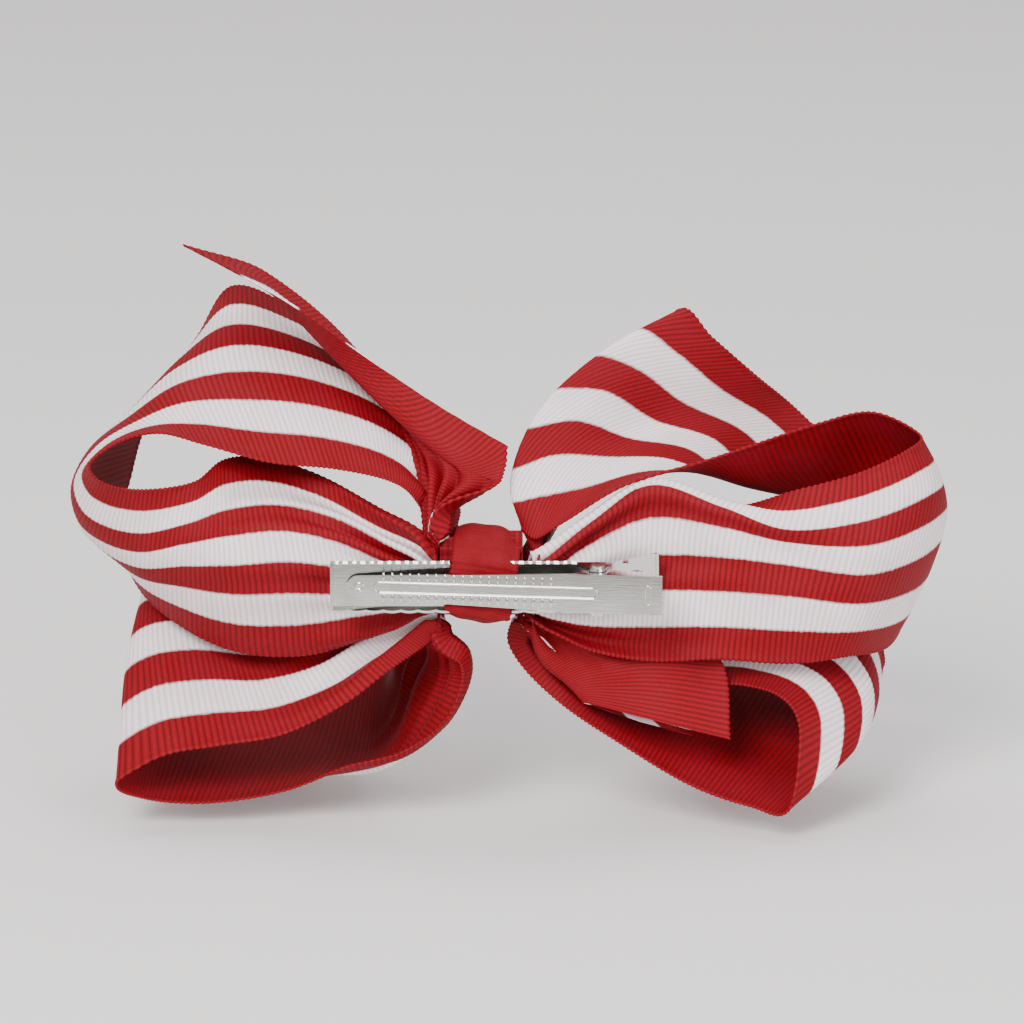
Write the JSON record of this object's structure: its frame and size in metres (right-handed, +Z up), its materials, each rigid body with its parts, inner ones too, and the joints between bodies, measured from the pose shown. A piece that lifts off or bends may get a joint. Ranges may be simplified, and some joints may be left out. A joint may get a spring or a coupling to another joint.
{
  "type": "hair bow",
  "caption": "Large striped grosgrain ribbon bow with twisted loops and tails, tied to a sprung flat alligator hair clip.",
  "frame": {"origin": "middle of the clip's mouth, on the gripping face of the jaw that is tied to the bow", "axes": "+X along the bow towards the finger tabs, +Z up, -Y out of the clip side, away from the bow"},
  "size_m": [0.1539, 0.063, 0.0936],
  "materials": {
    "striped_ribbon": "ribbed grosgrain, red and white stripes printed on one face, solid red reverse",
    "red_ribbon": "ribbed solid red grosgrain",
    "thread": "waxed red thread",
    "glue": "clear set hot glue",
    "clip_metal": "bright nickel plate with fine scratches",
    "pin_metal": "bright nickel plate",
    "spring_wire": "drawn spring wire"
  },
  "bodies": {
    "root": {"loop_upper_left": "striped_ribbon", "loop_lower_left": "striped_ribbon", "loop_upper_right": "striped_ribbon", "loop_lower_right": "striped_ribbon", "tail_upper_left": "striped_ribbon", "tail_lower_right": "striped_ribbon", "gathered_centre": "striped_ribbon", "binding_thread": "thread", "knot_wrap": "red_ribbon", "glue_dab": "glue", "bow_jaw": "clip_metal", "pivot_pin": "pin_metal", "torsion_spring": "spring_wire"},
    "prong": {"prong_jaw": "clip_metal"}
  },
  "joints": [
    {"name": "clip_hinge", "type": "hinge", "parent": "root", "child": "prong", "pos_m": [0.019, -0.0028, 0], "axis": [0, 0, 1], "range_deg": [0, 30], "stiffness_Nm_per_rad": 0.1, "springref_deg": -20.05, "deforming": ["torsion_spring"]}
  ]
}
